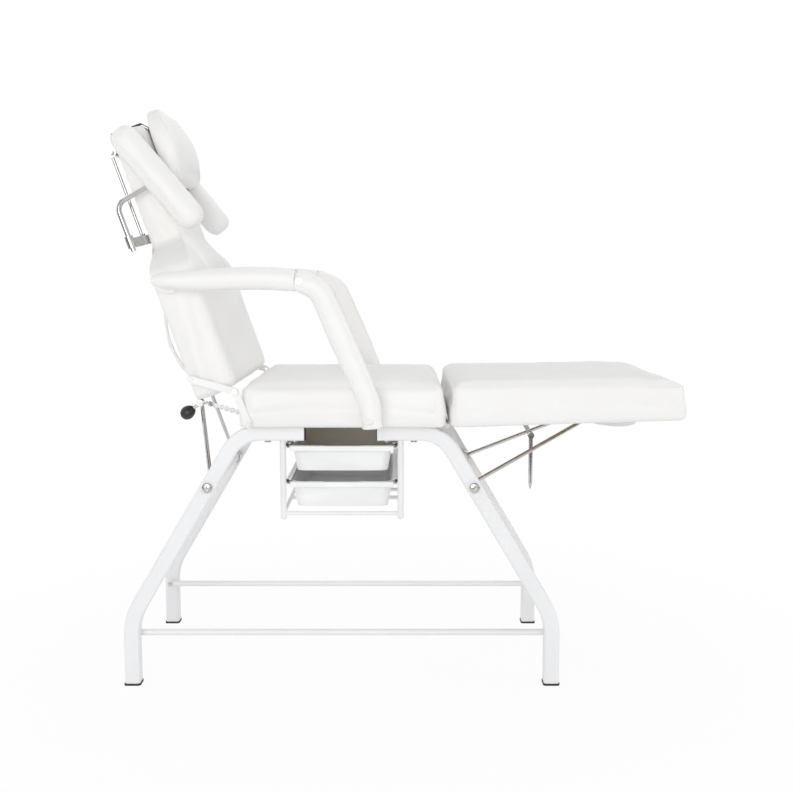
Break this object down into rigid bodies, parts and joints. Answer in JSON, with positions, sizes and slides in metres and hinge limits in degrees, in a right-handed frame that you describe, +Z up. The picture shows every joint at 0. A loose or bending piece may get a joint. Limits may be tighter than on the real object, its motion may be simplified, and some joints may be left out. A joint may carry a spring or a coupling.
{
  "type": "tattoo chair",
  "caption": "Adjustable padded chair on bent tube legs: folding backrest and leg rest, level arm pads, head pillow and side bolsters, hung drawers, paper roll holder.",
  "frame": {"origin": "on the floor under the middle of the chair's box", "axes": "+X towards the foot end, +Y towards the sitter's left, +Z up"},
  "size_m": [1.4131, 0.747, 1.4243],
  "materials": {
    "white_leather": "soft sheen coated leather",
    "white_paint": "satin powder coat",
    "chrome": "polished",
    "bright_steel": "zinc plated",
    "black_plastic": "satin",
    "black_rubber": "matt",
    "black_webbing": "woven",
    "white_plastic": "moulded, low gloss",
    "plywood": "plain"
  },
  "bodies": {
    "frame": {"head_leg_left": "white_paint", "head_leg_right": "white_paint", "foot_leg_left": "white_paint", "foot_leg_right": "white_paint", "foot_caps": "black_rubber", "rail_end_caps": "black_plastic", "stretchers": "white_paint", "cross_tube_head": "white_paint", "cross_tube_foot": "white_paint", "cross_bolts": "bright_steel", "frame_screws": "bright_steel", "seat_board": "plywood", "seat_cushion": "white_leather", "seat_side_plates": "white_paint", "seat_pivot_pins": "bright_steel", "leg_hinge_seat_leaves": "white_paint", "leg_hinge_pins": "bright_steel", "ratchet_rack_bracket": "white_paint", "drawer_frame": "white_paint", "drawer_runners": "white_paint"},
    "backrest": {"backrest_board": "plywood", "backrest_cushion": "white_leather", "backrest_side_blocks": "plywood", "back_side_plates": "white_paint", "back_side_screws": "bright_steel", "arm_pivot_pins": "bright_steel", "back_guide_plate": "white_paint", "pillow_straps": "black_webbing", "bolster_sockets": "chrome", "roll_holder_brackets": "chrome"},
    "leg_rest": {"leg_rest_board": "plywood", "leg_rest_cushion": "white_leather", "leg_guide_plate": "white_paint", "leg_rest_studs": "black_plastic", "leg_hinge_leg_leaves": "white_paint", "leg_release_bracket": "white_paint"},
    "back_strut_arm": {"back_strut": "chrome"},
    "release_handle": {"release_lever": "chrome", "ball_knob": "black_plastic"},
    "rack": {"ratchet_rack": "chrome"},
    "leg_strut_arm": {"leg_strut": "chrome"},
    "leg_catch": {"leg_release_catch": "chrome"},
    "pull": {"leg_release_pull_rod": "chrome"},
    "pad_left": {"arm_pad_left": "white_leather", "arm_core_left": "bright_steel"},
    "pad_right": {"arm_pad_right": "white_leather", "arm_core_right": "bright_steel"},
    "post_left": {"arm_post_left": "white_leather", "arm_post_core_left": "bright_steel"},
    "post_right": {"arm_post_right": "white_leather", "arm_post_core_right": "bright_steel"},
    "bolster_left": {"bolster_pad_left": "white_leather", "bolster_arm_left": "chrome"},
    "bolster_right": {"bolster_pad_right": "white_leather", "bolster_arm_right": "chrome"},
    "pillow": {"head_pillow": "white_leather"},
    "paper_holder": {"roll_holder": "chrome"},
    "paper_bar": {"roll_bar": "chrome"},
    "upper_drawer": {"drawer_upper": "white_plastic"},
    "lower_drawer": {"drawer_lower": "white_plastic"}
  },
  "joints": [
    {"name": "recline", "type": "hinge", "parent": "frame", "child": "backrest", "pos_m": [-0.371, 0, 0.74], "axis": [0, -1, 0], "range_deg": [0, 70]},
    {"name": "leg_drop", "type": "hinge", "parent": "frame", "child": "leg_rest", "pos_m": [0.135, 0, 0.6435], "axis": [0, 1, 0], "range_deg": [0, 55]},
    {"name": "back_strut_fold", "type": "hinge", "parent": "frame", "child": "back_strut_arm", "pos_m": [-0.44948, 0, 0.499], "axis": [0, -1, 0], "range_deg": [0, 45.5]},
    {"name": "rack_fold", "type": "hinge", "parent": "frame", "child": "rack", "pos_m": [-0.335, -0.026, 0.634], "axis": [0, -1, 0], "range_deg": [0, 24.5]},
    {"name": "release_lever_lift", "type": "hinge", "parent": "back_strut_arm", "child": "release_handle", "pos_m": [-0.49118, 0, 0.68709], "axis": [0, 1, 0], "range_deg": [0, 20]},
    {"name": "leg_strut_fold", "type": "hinge", "parent": "frame", "child": "leg_strut_arm", "pos_m": [0.20048, 0, 0.499], "axis": [0, 1, 0], "range_deg": [0, 77]},
    {"name": "leg_catch_turn", "type": "hinge", "parent": "leg_rest", "child": "leg_catch", "pos_m": [0.32211, 0, 0.64288], "axis": [0, 1, 0], "range_deg": [0, 15]},
    {"name": "pull_rod_hang", "type": "hinge", "parent": "leg_catch", "child": "pull", "pos_m": [0.36882, 0, 0.58932], "axis": [0, -1, 0], "range_deg": [0, 55]},
    {"name": "arm_pad_left_level", "type": "hinge", "parent": "backrest", "child": "pad_left", "pos_m": [-0.522, 0.346, 1], "axis": [0, 1, 0], "range_deg": [0, 70]},
    {"name": "arm_pad_right_level", "type": "hinge", "parent": "backrest", "child": "pad_right", "pos_m": [-0.522, -0.346, 1], "axis": [0, 1, 0], "range_deg": [0, 70]},
    {"name": "arm_post_left_swing", "type": "hinge", "parent": "frame", "child": "post_left", "pos_m": [-0.061, 0.346, 0.74], "axis": [0, -1, 0], "range_deg": [0, 70]},
    {"name": "arm_post_right_swing", "type": "hinge", "parent": "frame", "child": "post_right", "pos_m": [-0.061, -0.346, 0.74], "axis": [0, -1, 0], "range_deg": [0, 70]},
    {"name": "bolster_left_swing", "type": "hinge", "parent": "backrest", "child": "bolster_left", "pos_m": [-0.63367, 0.174, 1.07133], "axis": [-0.3338, 0, 0.9426], "range_deg": [0, 90]},
    {"name": "bolster_right_swing", "type": "hinge", "parent": "backrest", "child": "bolster_right", "pos_m": [-0.63367, -0.174, 1.07133], "axis": [0.3338, 0, -0.9426], "range_deg": [0, 90]},
    {"name": "pillow_slide", "type": "slide", "parent": "backrest", "child": "pillow", "axis": [0.3338, 0, -0.9426], "range_m": [0, 0.06]},
    {"name": "paper_holder_swing", "type": "hinge", "parent": "backrest", "child": "paper_holder", "pos_m": [-0.62322, 0, 1.10473], "axis": [0, -1, 0], "range_deg": [0, 60]},
    {"name": "paper_bar_spin", "type": "hinge", "parent": "paper_holder", "child": "paper_bar", "pos_m": [-0.69784, 0, 1.31546], "axis": [0, 1, 0], "continuous": true},
    {"name": "upper_drawer_slide", "type": "slide", "parent": "frame", "child": "upper_drawer", "axis": [0, -1, 0], "range_m": [0, 0.25]},
    {"name": "lower_drawer_slide", "type": "slide", "parent": "frame", "child": "lower_drawer", "axis": [0, -1, 0], "range_m": [0, 0.25]}
  ],
  "couplings": [
    {"joint": "back_strut_fold", "follows": "recline", "ratio": 0.65},
    {"joint": "rack_fold", "follows": "recline", "ratio": 0.35},
    {"joint": "arm_pad_left_level", "follows": "recline", "ratio": 1},
    {"joint": "arm_pad_right_level", "follows": "recline", "ratio": 1},
    {"joint": "arm_post_left_swing", "follows": "recline", "ratio": 1},
    {"joint": "arm_post_right_swing", "follows": "recline", "ratio": 1},
    {"joint": "leg_strut_fold", "follows": "leg_drop", "ratio": 1.4},
    {"joint": "pull_rod_hang", "follows": "leg_drop", "ratio": 1}
  ]
}
